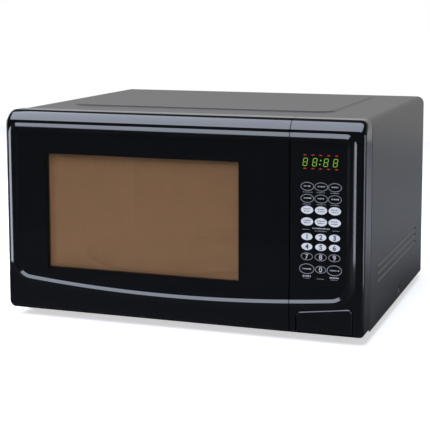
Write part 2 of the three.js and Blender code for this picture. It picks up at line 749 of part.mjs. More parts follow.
function buildRollerRing() {
  const low = 39.5;
  const high = 44.9;
  const ring = turned([[92, low], [98, low], [98, high], [92, high], [92, low]], 48, TABLE_X, TABLE_Y);
  const axles = [];
  for (let i = 0; i < 3; i += 1) {
    const angle = (i * 2 * Math.PI) / 3 + Math.PI / 2;
    const axle = new THREE.CylinderGeometry(1.8, 1.8, 16, 12);
    axle.rotateZ(-Math.PI / 2);
    axle.translate(104, 0, 0);
    axle.rotateZ(angle);
    axle.translate(TABLE_X, TABLE_Y, CAVITY.floor + ROLLER_RADIUS + 0.2);
    axles.push(solid(axle));
    const rim = ROLLER_RADIUS;
    const section = [[1.88, -3.5], [7, -3.5], [rim, -2.4], [rim, 2.4], [7, 3.5], [1.88, 3.5], [1.88, -3.5]];
    const roller = new THREE.LatheGeometry(section.map(([r, h]) => new THREE.Vector2(r, h)), 24);
    roller.rotateZ(-Math.PI / 2);
    roller.translate(ROLLER_PITCH, 0, 0);
    roller.rotateZ(angle);
    roller.translate(TABLE_X, TABLE_Y, CAVITY.floor + ROLLER_RADIUS + 0.2);
    place(`roller_${i + 1}`, solid(roller), "nylon");
  }
  place("roller_ring", joined([ring, ...axles]), "nylon");
}

// ---- Electrical parts ----

function buildMagnetron() {
  const duct = box(121.1, 151, 6, 94, 112, 232);
  const hollow = box(120, 148, 9, 91, 115, 229);
  const port = bar("x", 50, 205, 140, 160, 12, 18);
  place("waveguide", cutBy(duct, [hollow, port]), "zinc");
  let body = box(158, 208, 12, 88, 166, 244);
  for (let i = 0; i < 6; i += 1) {
    body = body.subtract(box(163 + i * 7, 166.5 + i * 7, 0, 34, 160, 250));
    body = body.subtract(box(163 + i * 7, 166.5 + i * 7, 66, 100, 160, 250));
  }
  const antenna = bar("x", 50, 205, 136, 159, 7, 16);
  const flange = box(151.4, 158.5, 26, 74, 180, 230);
  const terminal = box(207.5, 224, 34, 66, 186, 224);
  place("magnetron", joined([body, antenna, flange, terminal]), "aluminium");
}

function buildPowerParts() {
  const core = cutBy(box(150, 230, -70, -20, 16, 96), [
    box(162, 178, -80, 0, 32, 80),
    box(202, 218, -80, 0, 32, 80),
  ]);
  place("transformer_core", core, "steel");
  const winding = box(162.4, 217.6, -84, -6, 32.4, 79.6).subtract(box(177.6, 202.4, -70.4, -19.6, 20, 90));
  place("transformer_winding", winding, "copper");
  const can = roundedRectangle(160, 214, 16, 46, 14, 14, 5);
  const terminals = [box(178, 180, 50, 62, 28, 34), box(194, 196, 50, 62, 28, 34)];
  place("capacitor", joined([prismY(can, 60, 118), ...terminals]), "aluminium");
  const board = box(130, 232, 168, 169.6, 22, 88);
  const parts = [
    bar("y", 160, 60, 146, 168.2, 13, 16),
    box(182, 202, 150, 168.2, 52, 76),
    box(208, 226, 152, 168.2, 30, 44),
  ];
  place("filter_board", joined([board, ...parts]), "board");
  const gland = cutBy(bar("y", 200, 44, 186, 197.8, 8.6, 16).add(bar("y", 200, 44, 197.6, 199.9, 12, 18)), [
    bar("y", 200, 44, 180, 205, 4.2, 14),
  ]);
  place("cord_gland", gland, "rubber");
  const lamp = bar("x", 120, 211, 128, 150, 7, 16).add(bar("x", 120, 211, 150, 164, 10, 16));
  place("oven_lamp", lamp, "clearGlass");
}

function buildFan() {
  const wall = box(122, 236, 142, 143.2, 112, 262);
  const ring = bar("y", FAN_X, FAN_Z, 142, 166, 51, 32);
  const hole = bar("y", FAN_X, FAN_Z, 130, 180, 49, 32);
  place("fan_housing", wall.add(ring).subtract(hole), "greyPlastic");
  const motor = box(160, 200, 172, 190, 168, 212);
  const mount = box(150, 210, 189, 195.8, 184, 196);
  const bore = bar("y", FAN_X, FAN_Z, 160, 184, 2.6, 14);
  place("fan_motor", motor.add(mount).subtract(bore), "zinc");
  const hub = bar("y", FAN_X, FAN_Z, 147, 164, 12, 20);
  const shaft = bar("y", FAN_X, FAN_Z, 160, 182, 2.4, 14);
  const blades = [];
  for (let i = 0; i < 5; i += 1) {
    const blade = new THREE.BoxGeometry(36, 1.4, 26);
    blade.rotateX(THREE.MathUtils.degToRad(32));
    blade.translate(28, 0, 0);
    blade.rotateY((i * 2 * Math.PI) / 5);
    blade.translate(FAN_X, 155.5, FAN_Z);
    blades.push(solid(blade));
  }
  const sweep = bar("y", FAN_X, FAN_Z, 140, 170, 46.5, 32);
  place("fan_blade", joined([hub, shaft, joined(blades).intersect(sweep)]), "greyPlastic");
}

buildOuterCase();
buildRearPanel();
buildBasePlate();
buildFeet();
buildFrontPlate();
buildCavity();
buildMagnetron();
buildPowerParts();
buildFan();
buildCaseScrews();
buildHingeBrackets();
buildDoorFrame();
buildDoorGlass();
buildDoorScreen();
buildInnerFilm();
buildChokeCover();
buildLatch();
buildControlPanel();
buildReleaseButton();
buildDisplayAndBoard();
buildLatchBracket();
buildReleaseLever();
buildTurntable();
buildRollerRing();

export default group;
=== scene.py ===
# %% [markdown]
# # A countertop microwave oven, dressed for a studio shot
# The shapes that carry loads and move come from the CAD model in model.glb. This lesson
# adds what the CAD leaves out: smooth skins over the front moulding, a pressed sheet-metal
# wrapper, lit digits, printed keys, and a finish with real surface detail for every part.
# Everything is in metres, with X to the right, Y to the back and Z up.

# %% Load the imported model
import math

import bpy
import numpy as np
from mathutils import Matrix, Vector


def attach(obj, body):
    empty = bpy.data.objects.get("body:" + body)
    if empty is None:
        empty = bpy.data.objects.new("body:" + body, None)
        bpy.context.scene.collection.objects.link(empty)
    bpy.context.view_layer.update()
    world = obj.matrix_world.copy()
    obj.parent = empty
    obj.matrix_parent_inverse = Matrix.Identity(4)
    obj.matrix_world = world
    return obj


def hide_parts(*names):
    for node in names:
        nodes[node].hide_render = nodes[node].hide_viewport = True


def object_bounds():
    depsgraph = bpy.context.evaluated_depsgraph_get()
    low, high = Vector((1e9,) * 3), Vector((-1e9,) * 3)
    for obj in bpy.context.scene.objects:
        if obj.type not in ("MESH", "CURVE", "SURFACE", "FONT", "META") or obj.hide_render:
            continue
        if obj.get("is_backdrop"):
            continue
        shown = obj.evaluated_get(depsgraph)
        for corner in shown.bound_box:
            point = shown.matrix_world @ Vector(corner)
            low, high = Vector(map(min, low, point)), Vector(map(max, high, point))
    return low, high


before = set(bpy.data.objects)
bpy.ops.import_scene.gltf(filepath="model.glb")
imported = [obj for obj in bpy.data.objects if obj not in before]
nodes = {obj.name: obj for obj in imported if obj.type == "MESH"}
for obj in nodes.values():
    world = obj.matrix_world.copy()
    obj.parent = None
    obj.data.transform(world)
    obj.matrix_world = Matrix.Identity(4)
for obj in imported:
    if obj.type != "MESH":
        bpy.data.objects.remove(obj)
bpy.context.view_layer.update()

# %% [markdown]
# ## The camera
# A product shot like this is taken from the right of the door, a little above the worktop, with
# a long lens. Its uprights stay nearly parallel because the camera is almost level and the lens
# is shifted down instead, as on a view camera. The camera's axes are worked out from two angles
# and a tiny roll, and go straight into its matrix.

# %% Camera
MM = 0.001
AZIMUTH, ELEVATION, ROLL = (math.radians(a) for a in (19.509, 6.852, -0.121))
back = np.array([math.sin(AZIMUTH) * math.cos(ELEVATION),
                 -math.cos(AZIMUTH) * math.cos(ELEVATION), math.sin(ELEVATION)])
level = np.array([math.cos(AZIMUTH), math.sin(AZIMUTH), 0.0])
lift = np.cross(back, level)
right_axis = math.cos(ROLL) * level + math.sin(ROLL) * lift
up_axis = -math.sin(ROLL) * level + math.cos(ROLL) * lift
eye = np.array([0.5472, -1.5973, 0.4243])
camera = bpy.data.objects.new("camera", bpy.data.cameras.new("camera"))
camera.data.sensor_width = 36
camera.data.lens, camera.data.shift_y = 101.14, -0.1704
pose = np.eye(4)
pose[:3, 0], pose[:3, 1], pose[:3, 2], pose[:3, 3] = right_axis, up_axis, back, eye
camera.matrix_world = Matrix(pose.tolist())
bpy.context.scene.collection.objects.link(camera)
bpy.context.scene.camera = camera
bpy.context.scene.view_settings.view_transform = "Standard"
print("camera at", eye, "lens", camera.data.lens, "mm")

# %% [markdown]
# ## Studio: floor, backdrop and softboxes
# Glossy black plastic shows the room more than itself. Its edges are only visible because large
# softboxes stand where a curved edge mirrors them, while the flat front mirrors a dark part of
# the room and the floor, which is painted near black in reflections: a painted dark reflection.
# So the backdrop is bright behind the oven and dim in front, one large softbox hangs over it,
# and narrow strips stand beside it. The backdrop looks white straight from the camera.

# %% A surface from a grid of points
def surface(name, grid, body, finish=None, close=False, flip=False, smooth=True):
    """Turns a (rows, columns, 3) array in millimetres into a mesh that rides on a body.

    Each cell of the grid becomes one four-sided face. `close` joins the last row to the first.
    """
    rows, columns = grid.shape[:2]
    first = np.arange(rows if close else rows - 1)
    r, c = np.meshgrid(first, np.arange(columns - 1), indexing="ij")
    n = (r + 1) % rows
    quads = np.stack([r * columns + c, n * columns + c, n * columns + c + 1, r * columns + c + 1], -1)
    quads = quads.reshape(-1, 4)
    return mesh_piece(name, grid.reshape(-1, 3), quads[:, ::-1] if flip else quads, body, finish, smooth)


def mesh_piece(name, points, quads, body, finish=None, smooth=True):
    """Makes one object from points in millimetres and an array of faces with equal sides."""
    mesh = bpy.data.meshes.new(name)
    mesh.from_pydata((np.asarray(points) * MM).tolist(), [], np.asarray(quads).tolist())
    mesh.polygons.foreach_set("use_smooth", np.full(len(mesh.polygons), smooth))
    mesh.update()
    piece = bpy.data.objects.new(name, mesh)
    bpy.context.scene.collection.objects.link(piece)
    if finish:
        mesh.materials.append(finish)
    if body:
        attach(piece, body)
    print(f"{name}: {len(points)} points, {len(quads)} faces")
    return piece


# %% [markdown]
# ## A small language for shader maths
# A node tree is easier to read as a formula. `Value` wraps one output socket, and each operator
# adds the Math node that does it. `Finish` wraps one material; its `node` method adds any other
# node, and `done` connects the Principled shader.

# %% Shader helpers
class Value:
    """One number that varies over the surface, with the usual operators."""

    def __init__(self, finish, socket):
        self.finish, self.socket = finish, socket

    def apply(self, operation, *others, clamp=False):
        inputs = dict(enumerate((self, *others)))
        settings = {"operation": operation, "use_clamp": clamp}
        return Value(self.finish, self.finish.node("ShaderNodeMath", settings, inputs).outputs[0])

    def __add__(self, other): return self.apply("ADD", other)
    def __sub__(self, other): return self.apply("SUBTRACT", other)
    def __mul__(self, other): return self.apply("MULTIPLY", other)
    def __truediv__(self, other): return self.apply("DIVIDE", other)
    def __rsub__(self, other): return (self * -1) + other
    def __gt__(self, other): return self.apply("GREATER_THAN", other)
    def __lt__(self, other): return self.apply("LESS_THAN", other)
    def __abs__(self): return self.apply("ABSOLUTE")
    __radd__, __rmul__ = __add__, __mul__

    def wave(self): return self.apply("SINE")
    def part(self): return self.apply("FRACT")
    def whole(self): return self.apply("FLOOR")
    def low(self, other): return self.apply("MINIMUM", other)
    def high(self, other): return self.apply("MAXIMUM", other)
    def root(self): return self.apply("SQRT")
    def clamped(self): return self.apply("ADD", 0.0, clamp=True)

    def ramp(self, start, end):
        """0 below start, 1 above end, straight in between."""
        return ((self - start) * (1 / (end - start))).clamped()


class Finish:
    """One material. Its position sockets read Object coordinates, in metres."""

    def __init__(self, name):
        self.material = bpy.data.materials.new(name)
        self.material.use_nodes = True
        self.tree = self.material.node_tree
        self.shader = self.tree.nodes["Principled BSDF"]
        self.place = self.node("ShaderNodeTexCoord").outputs["Object"]
        axes = self.node("ShaderNodeSeparateXYZ", {}, {0: self.place}).outputs
        self.x, self.y, self.z = (Value(self, axis) for axis in axes)

    def node(self, kind, settings=None, inputs=None):
        """Adds a node, sets its settings, then its sockets: a Value or socket is linked, a number is set."""
        node = self.tree.nodes.new(kind)
        for key, value in (settings or {}).items():
            setattr(node, key, value)
        for key, value in (inputs or {}).items():
            self.feed(node.inputs[key], value)
        return node

    def feed(self, socket, value):
        value = value.socket if isinstance(value, Value) else value
        if isinstance(value, bpy.types.NodeSocket):
            self.tree.links.new(value, socket)
        else:
            socket.default_value = value

    def noise(self, scale, detail=2.0, stretch=None, rough=0.5):
        """Smooth noise, about 0.5 on average; scale is in blobs per metre."""
        where = self.place
        if stretch:
            where = self.node("ShaderNodeMapping", {}, {0: self.place, 3: stretch}).outputs[0]
        inputs = {"Vector": where, "Scale": scale, "Detail": detail, "Roughness": rough}
        return Value(self, self.node("ShaderNodeTexNoise", {}, inputs).outputs[0])

    def colour(self, amount, first, second):
        """Mixes two colours; amount 0 gives the first."""
        node = self.node("ShaderNodeMix", {"data_type": "RGBA"}, {0: amount})
        for index, value in ((6, first), (7, second)):
            self.feed(node.inputs[index], (*value, 1.0) if isinstance(value, tuple) else value)
        return node.outputs[2]

    def bump(self, height, distance, strength=1.0):
        inputs = {"Height": height, "Distance": distance, "Strength": strength}
        return self.node("ShaderNodeBump", {}, inputs).outputs[0]

    def done(self, **sockets):
        """Feeds the Principled shader; base_color=... goes to Base Color, and so on."""
        names = {"ior_level": "Specular IOR Level", "coat_roughness": "Coat Roughness",
                 "ior": "IOR", "emission": "Emission Color", "glow": "Emission Strength",
                 "transmission": "Transmission Weight", "coat": "Coat Weight"}
        for key, value in sockets.items():
            name = names.get(key, key.replace("_", " ").title())
            if isinstance(value, tuple) and len(value) == 3:
                value = (*value, 1.0)
            self.feed(self.shader.inputs[name], value)
        print("finish", self.material.name)
        return self.material


def dress(material, *names):
    """Gives CAD nodes a finish, leaving their meshes alone."""
    for name in names:
        for slot in nodes[name].material_slots:
            slot.material = material


# %% Floor and backdrop
floor_finish = Finish("studio_floor")
speck = floor_finish.noise(9, 4)
rays = floor_finish.node("ShaderNodeLightPath").outputs
mirrored, seen = (Value(floor_finish, rays[name]) for name in ("Is Glossy Ray", "Is Camera Ray"))
open_side = floor_finish.x.ramp(-0.5, -0.2)
near_side = floor_finish.x.ramp(0.22, 0.4)
# In reflections the floor's colour is painted near black, fading towards the back except on the far left, and
# a little less dark on the right: a painted dark reflection for the glossy parts that see the floor.
painted_dark_reflection = mirrored * (0.97 - floor_finish.y.ramp(-0.3, 1.5) * open_side * 0.68) * (1 - near_side * 0.2)
pale = floor_finish.colour(speck, (0.86, 0.86, 0.86), (0.9, 0.9, 0.9))
floor_paint = floor_finish.done(base_color=floor_finish.colour(painted_dark_reflection, pale, (0.0, 0.0, 0.0)),
                                roughness=speck * 0.1 + 0.6, ior_level=0.0,
                                emission=floor_finish.colour(seen, (0, 0, 0), (0.6, 0.6, 0.6)), glow=1.0)
u, v = np.meshgrid(np.linspace(-1500, 1500, 25), np.linspace(-750, 1900, 25), indexing="ij")
floor = surface("studio_floor", np.stack([u, v, np.zeros_like(u)], -1), None, floor_paint)
floor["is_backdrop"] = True

world = bpy.data.worlds.new("studio_backdrop")
bpy.context.scene.world = world
world.use_nodes = True
sky = world.node_tree
view_way = sky.nodes.new("ShaderNodeTexCoord")
axes = sky.nodes.new("ShaderNodeSeparateXYZ")
sky.links.new(view_way.outputs["Generated"], axes.inputs[0])
behind = sky.nodes.new("ShaderNodeMapRange")
sky.links.new(axes.outputs["Y"], behind.inputs[0])
for index, value in ((1, -0.35), (2, 0.65), (3, 0.02), (4, 0.6)):
    behind.inputs[index].default_value = value
from_camera = sky.nodes.new("ShaderNodeLightPath")
high = sky.nodes.new("ShaderNodeMapRange")
sky.links.new(axes.outputs["Z"], high.inputs[0])
for index, value in ((1, 0.35), (2, 0.55), (3, 1.0), (4, 0.2)):
    high.inputs[index].default_value = value
backdrop = sky.nodes.new("ShaderNodeMath")
backdrop.operation = "MULTIPLY"
sky.links.new(behind.outputs[0], backdrop.inputs[0])
sky.links.new(high.outputs[0], backdrop.inputs[1])
choose = sky.nodes.new("ShaderNodeMix")
sky.links.new(from_camera.outputs["Is Camera Ray"], choose.inputs[0])
sky.links.new(backdrop.outputs[0], choose.inputs[2])
choose.inputs[3].default_value = 1.0
sky.links.new(choose.outputs[0], sky.nodes["Background"].inputs["Strength"])
sky.nodes["Background"].inputs["Color"].default_value = (1, 1, 1, 1)


# %% Softboxes
def softbox(name, place, aim, width, height, radiance, tint=(1.0, 1.0, 1.0)):
    """A rectangular lamp whose surface has the given brightness, whatever its size.

    A narrow one only draws highlights: it doesn't light matt surfaces.
    """
    lamp = bpy.data.lights.new(name, "AREA")
    lamp.shape, lamp.size, lamp.size_y, lamp.color = "RECTANGLE", width, height, tint
    lamp.energy = radiance * math.pi * width * height
    box = bpy.data.objects.new(name, lamp)
    box.location = place
    box.rotation_euler = (Vector(aim) - Vector(place)).to_track_quat("-Z", "Y").to_euler()
    box.visible_camera = False
    box.visible_diffuse = width > 1
    bpy.context.scene.collection.objects.link(box)
    return box


COOL = (0.77, 0.84, 1.0)
softbox("overhead_softbox", (-0.45, -1.0, 1.6), (-0.35, -0.6, 0.2), 2.2, 2.3, 7.0, COOL)
softbox("left_strip", (-0.47, -0.26, 0.16), (-0.24, -0.2, 0.16), 0.06, 0.31, 7.0, COOL)
softbox("right_strip", (0.505, -0.58, 0.17), (0.23, -0.2, 0.17), 0.055, 0.38, 7.5, COOL)
softbox("edge_strip", (0.50, -0.37, 0.17), (0.24, -0.2, 0.17), 0.16, 0.34, 5.0, COOL)
cavity_lamp = bpy.data.lights.new("cavity_lamp", "POINT")
cavity_lamp.energy, cavity_lamp.shadow_soft_size, cavity_lamp.color = 0.1, 0.02, (1.0, 0.8, 0.55)
lamp_object = bpy.data.objects.new("cavity_lamp", cavity_lamp)
lamp_object.location = (0.06, 0.0, 0.215)
bpy.context.scene.collection.objects.link(lamp_object)

# %% [markdown]
# ## Black moulding
# The door frame, the control side and the release button are injection-moulded ABS, polished in
# the mould. Real mouldings are never mirror flat: a faint orange peel breaks up reflections, and
# handling leaves patches that are a touch less glossy. Both come from noise, at two scales.

# %% Black mouldings
moulding = Finish("black_moulding")
peel = moulding.noise(260, 2)
handled = moulding.noise(14, 3).ramp(0.4, 0.7)
fine_dust = moulding.noise(2600, 1).ramp(0.7, 0.8)
black_moulding = moulding.done(
    base_color=moulding.colour(fine_dust * 0.35, (0.0035, 0.0035, 0.0038), (0.02, 0.02, 0.021)),
    roughness=handled * 0.05 + 0.09, normal=moulding.bump(peel, 0.00001, 0.5))
dress(black_moulding, "door_frame", "control_panel", "release_button")

# %% [markdown]
# ## The door's glass
# The outer pane is clear glass with black ink printed on its back, and a rectangle left open
# over the screen. One material can do both: a mask made from the position says where the ink
# stops, and drives Alpha. The open part keeps a brown tint, as such panes do.

# %% Door glass
WINDOW = {"left": -181.9, "right": 80.6, "bottom": 71.0, "top": 220.6}
glass = Finish("door_glass_print")


def inside_window(finish, grow):
    """1 inside the window, 0 outside, as the product of four tests on X and Z."""
    in_x = (finish.x > (WINDOW["left"] - grow) * MM) * (finish.x < (WINDOW["right"] + grow) * MM)
    in_z = (finish.z > (WINDOW["bottom"] - grow) * MM) * (finish.z < (WINDOW["top"] + grow) * MM)
    return in_x * in_z


clear = inside_window(glass, 1.2)
smear = glass.noise(7, 4).ramp(0.35, 0.8)
door_glass = glass.done(
    base_color=glass.colour(clear, (0.0035, 0.0035, 0.0038), (0.02, 0.012, 0.007)),
    roughness=smear * 0.05 + 0.04, alpha=1 - clear * 0.8, ior_level=0.3)
dress(door_glass, "door_glass")

# %% [markdown]
# ## The screen in the door
# A steel sheet full of small round holes keeps microwaves in and lets light out. Cutting seven
# thousand holes would make a heavy mesh that looks the same from arm's length, so the holes are
# a pattern: the distance to the nearest point of a staggered lattice, compared with the radius.
# Where it is smaller, Alpha is zero and the cavity shows.

# %% Perforated screen
screen = Finish("perforated_screen")
PITCH, ROW = 3.3, 1.9
rows_up = screen.z * (1000 / ROW)
shift = (rows_up.whole() * 0.5).part()
across = (screen.x * (1000 / PITCH) + shift).part() - 0.5
upward = rows_up.part() - 0.5
distance = ((across * PITCH) * (across * PITCH) + (upward * ROW) * (upward * ROW)).root()
hole = (distance < 0.8) * inside_window(screen, 0)
within = inside_window(screen, 0)
patina = screen.noise(40, 3)
screen_paint = screen.done(
    base_color=screen.colour(within, (0.006, 0.006, 0.006),
                             screen.colour(patina, (0.5, 0.26, 0.115), (0.4, 0.205, 0.09))),
    roughness=patina * 0.15 + 0.4, alpha=1 - hole, ior_level=0.3)
dress(screen_paint, "door_screen")

film = Finish("clear_inner_film")
haze = film.noise(22, 3)
inner_film = film.done(base_color=(0.3, 0.24, 0.17), roughness=haze * 0.1 + 0.1,
                       alpha=haze * 0.04 + 0.06)
dress(inner_film, "door_inner_film")

# %% [markdown]
# ## Metal, enamel, nylon and rubber
# The rest of the CAD nodes already have the right shapes. Each gets the marks of how it is made:
# rolling grain on plated sheet, a speckle in baked enamel, moulding flow in nylon, and so on.

# %% Sheet metals
def plated_sheet(name, light, dark, rough):
    """Plated steel: fine streaks along the rolling direction over soft blotches."""
    finish = Finish(name)
    grain = finish.noise(900, 3, stretch=(1.0, 0.04, 1.0))
    blotch = finish.noise(28, 4)
    mix = (grain * 0.6 + blotch * 0.5).clamped()
    return finish.done(base_color=finish.colour(mix, light, dark), metallic=0.9,
                       roughness=grain * 0.18 + rough, normal=finish.bump(grain, 0.00002, 0.4))


zinc = plated_sheet("zinc_sheet", (0.62, 0.63, 0.62), (0.4, 0.41, 0.4), 0.3)
core = plated_sheet("core_steel", (0.33, 0.33, 0.34), (0.18, 0.18, 0.18), 0.35)
aluminium = plated_sheet("fin_aluminium", (0.75, 0.76, 0.77), (0.55, 0.56, 0.57), 0.3)
dress(zinc, "rear_panel", "base_plate", "hinge_bracket_top", "hinge_bracket_bottom", "waveguide",
      "fan_motor", "turntable_motor")
dress(core, "transformer_core", "latch_spring", "button_spring")
dress(aluminium, "magnetron", "capacitor")

# %% Screws, enamel, plastics and the rest
screw = Finish("screw_steel")
turned = (screw.y * 9000).wave() * (screw.z * 9000).wave()
screw_steel = screw.done(
    base_color=screw.colour(screw.noise(900, 2), (0.95, 0.95, 0.94), (0.7, 0.7, 0.68)), metallic=0.35,
    roughness=screw.noise(400, 2) * 0.2 + 0.22, normal=screw.bump(turned, 0.00002, 0.3))
dress(screw_steel, "case_screw_left", "case_screw_right",
      "rear_screw_1", "rear_screw_2", "rear_screw_3", "rear_screw_4")

enamel = Finish("cavity_enamel")
fleck = enamel.noise(1400, 2).ramp(0.62, 0.72)
stain = enamel.noise(12, 4).ramp(0.5, 0.9)
cavity_enamel = enamel.done(
    base_color=enamel.colour(fleck * 0.4, enamel.colour(stain, (0.5, 0.42, 0.31), (0.4, 0.32, 0.22)),
                             (0.3, 0.25, 0.18)),
    roughness=stain * 0.15 + 0.35, normal=enamel.bump(enamel.noise(420, 2), 0.00003, 0.4))
dress(cavity_enamel, "front_plate", "cavity_floor", "cavity_ceiling", "cavity_left_wall",
      "cavity_right_wall", "cavity_rear_wall")


def moulded(name, light, dark, rough, scale=600):
    """Matt moulded plastic: cloudy flow marks in the colour and a fine spark-eroded grain."""
    finish = Finish(name)
    flow = finish.noise(30, 4)
    grain = finish.noise(scale, 2)
    return finish.done(base_color=finish.colour(flow, light, dark), roughness=grain * 0.12 + rough,
                       normal=finish.bump(grain, 0.00004, 0.5))


nylon = moulded("pale_nylon", (0.72, 0.7, 0.64), (0.62, 0.6, 0.54), 0.42)
grey_plastic = moulded("grey_moulding", (0.09, 0.09, 0.095), (0.06, 0.06, 0.065), 0.45)
choke_black = moulded("choke_moulding", (0.02, 0.02, 0.021), (0.012, 0.012, 0.013), 0.4)
rubber = moulded("foot_rubber", (0.018, 0.018, 0.018), (0.03, 0.03, 0.03), 0.75, 1200)
mica = moulded("mica_sheet", (0.48, 0.36, 0.2), (0.3, 0.2, 0.1), 0.55, 300)
copper = plated_sheet("winding_wire", (0.5, 0.19, 0.07), (0.3, 0.1, 0.04), 0.3)
dress(nylon, "door_switch_lower", "door_switch_upper", "latch_hook", "release_lever",
      "drive_coupler", "roller_ring", "roller_1", "roller_2", "roller_3")
dress(grey_plastic, "fan_housing", "fan_blade", "latch_bracket")
dress(choke_black, "choke_cover")
dress(rubber, "foot_front_left", "foot_front_right", "foot_rear_left", "foot_rear_right", "cord_gland")
dress(mica, "waveguide_cover")
dress(copper, "transformer_winding")

laminate = Finish("circuit_laminate")
tracks = (abs((laminate.x * 420).part() - 0.5) < 0.12).high(abs((laminate.z * 420).part() - 0.5) < 0.1)
board_finish = laminate.done(
    base_color=laminate.colour(tracks * 0.5, (0.03, 0.14, 0.06), (0.1, 0.28, 0.12)),
    roughness=laminate.noise(300) * 0.2 + 0.35)
dress(board_finish, "control_board", "filter_board")

tray_glass = Finish("tray_glass")
ripple = tray_glass.noise(60, 2)
tray_finish = tray_glass.done(base_color=(0.86, 0.93, 0.9), roughness=ripple * 0.05 + 0.03,
                              transmission=1.0, ior=1.47,
                              normal=tray_glass.bump(ripple, 0.0001, 0.3))
dress(tray_finish, "glass_tray", "oven_lamp")

# %% [markdown]
# ## Keypad sheet and display block
# The keys are printed areas of one flexible polyester sheet with a fine leather-like texture on
# its front. The display sits behind it, so the sheet only needs to be dark and a little glossy.

# %% Keypad sheet
sheet = Finish("keypad_sheet")
tooth = sheet.noise(1500, 2)
film_black = sheet.colour(sheet.noise(20, 3), (0.0025, 0.0025, 0.0027), (0.004, 0.004, 0.0043))
keypad = sheet.done(base_color=film_black,
                    roughness=tooth * 0.1 + 0.2, ior_level=0.25, normal=sheet.bump(tooth, 0.00002, 0.4))
dress(keypad, "keypad_film", "display_module")

# %% [markdown]
# ## Skins for the front
# The front moulding has a sloped upper edge, rounded sides and a raised bead that follows a
# shallow arc under the door. In CAD these are facets. Here the same section is carried round the
# same path with many more steps, as one smooth skin 0.15 mm proud of the facets. The section is
# a list of rings: each ring is the outline at one depth, or the bead's outline at one offset.

# %% The path and the rings
FACE = -197.5
SEAM_DOOR, SEAM_PANEL = 147.0, 148.0
DOOR_X = np.concatenate([np.linspace(SEAM_DOOR, -200, 90)])
PANEL_X = np.linspace(SEAM_PANEL, 200, 16)


def run_low(x, ring):
    """Height of a ring's lower edge at x: the lowest part of a very large circle."""
    radius = ring["sweep"]
    return ring["lowest"] + radius - np.sqrt(radius**2 - (x - ring["centre"]) ** 2)


def corner(cx, cz, radius, start, end, steps):
    """Points on a circular arc, in degrees, without its last point."""
    angle = np.radians(np.linspace(start, end, steps, endpoint=False))
    return np.stack([cx + radius * np.cos(angle), cz + radius * np.sin(angle)], -1)


def half_path(ring, side, xs):
    """The ring from the seam along the bottom, round one side, and back along the top.

    `side` is -1 for the door's side and 1 for the panel's side. The corner circles touch the
    lower circle and the upright line, so each corner starts at the angle where they meet.
    """
    radius, top_radius = ring["low_radius"], ring["top_radius"]
    edge = ring["right"] if side > 0 else ring["left"]
    cx = edge - side * radius
    reach = ring["sweep"] - radius
    cz = ring["lowest"] + ring["sweep"] - math.sqrt(reach**2 - (cx - ring["centre"]) ** 2)
    tilt = math.degrees(math.asin((cx - ring["centre"]) / reach))
    bottom = np.stack([xs, run_low(xs, ring)], -1)
    if side > 0:
        low = corner(cx, cz, radius, 270 + tilt, 360, 16)
        high = corner(edge - top_radius, ring["top"] - top_radius, top_radius, 0, 90, 12)
    else:
        low = corner(cx, cz, radius, 270 + tilt, 180, 16)
        high = corner(edge + top_radius, ring["top"] - top_radius, top_radius, 180, 90, 12)
    heights = np.linspace(cz, ring["top"] - top_radius, 40, endpoint=False)
    upright = np.stack([np.full_like(heights, edge), heights], -1)
    top = np.stack([xs[::-1], np.full_like(xs, ring["top"])], -1)
    return np.concatenate([bottom, low, upright, high, top])


def outer_ring(depth):
    """The moulding's outline at one depth behind the face, with its bevels and rounding."""
    side = 3.5 * (1 - math.sqrt(max(0.0, 1 - max(0.0, 1 - depth / 3.5) ** 2)))
    top = 12.5 * max(0.0, 1 - depth / 14) ** 1.6
    bottom = max(0.0, 4.5 - depth)
    proud = 0.15 * min(1.0, max(0.1, (11 - depth) / 3))
    return {"left": -241.5 + side - proud, "right": 241.5 - side + proud, "top": 277 - top + proud,
            "lowest": 12 + bottom - proud, "sweep": 1e6, "centre": 0.0,
            "top_radius": 9 - side * 0.7, "low_radius": 7 - side * 0.6}


def bead_ring(offset):
    """The bead's outline moved outward by offset: every radius grows by the same amount."""
    return {"left": -232 - offset, "right": 224.8 + offset, "top": 255.6 + offset,
            "lowest": 42.3 - offset, "sweep": 2027 + offset, "centre": -6.0,
            "top_radius": 9 + offset, "low_radius": 26 + offset}


# %% The section
def bead_height(offset):
    """Rise of the bead, 2.5 mm at its crest: one less a power of the distance, on each side.

    The crest is 1.35 mm in from the middle, so the outer slope is wide and the inner one steep.
    """
    away = offset + 1.35
    width, power = np.where(away > 0, 6.75, 4.05), np.where(away > 0, 1.3, 1.05)
    return 2.5 * (1 - np.abs(away / width) ** power)


DEPTHS = np.array([11, 10, 9.2, 8.2, 7, 6, 5, 4.2, 3.4, 2.7, 2.1, 1.5, 1.0, 0.6, 0.3, 0.1, 0.0])
OFFSETS = np.concatenate([np.linspace(5.4, -1.35, 15), np.linspace(-1.35, -5.4, 11)[1:]])


def strip(side, xs, rings, keep=None):
    """Stacks rings, each (ring, y), into a grid: columns go across the section."""
    lines = []
    for ring, y in rings:
        line = half_path(ring, side, xs) if isinstance(ring, dict) else ring
        lines.append(np.stack([line[:, 0], np.full(len(line), y), line[:, 1]], -1))
    grid = np.stack(lines, 1)
    return grid if keep is None else grid[keep]


def front_rings(side, xs):
    """Bevels and land: outlines from the back to the face, then straight across to the bead."""
    outer = [(outer_ring(d), FACE - 0.15 + d) for d in DEPTHS]
    edge = half_path(outer_ring(0.0), side, xs)
    start = half_path(bead_ring(5.4), side, xs)
    land = [(edge * (1 - t) + start * t, FACE - 0.15) for t in (0.03, 0.3, 0.6, 0.97)]
    return outer + land


def bead_rings():
    """The bead itself, and the short wall down to the seat of the glass."""
    over = [(bead_ring(o), FACE - 0.15 - bead_height(o)) for o in OFFSETS]
    return over + [(bead_ring(-5.5), FACE - 0.1), (bead_ring(-5.55), FACE + 2.0)]


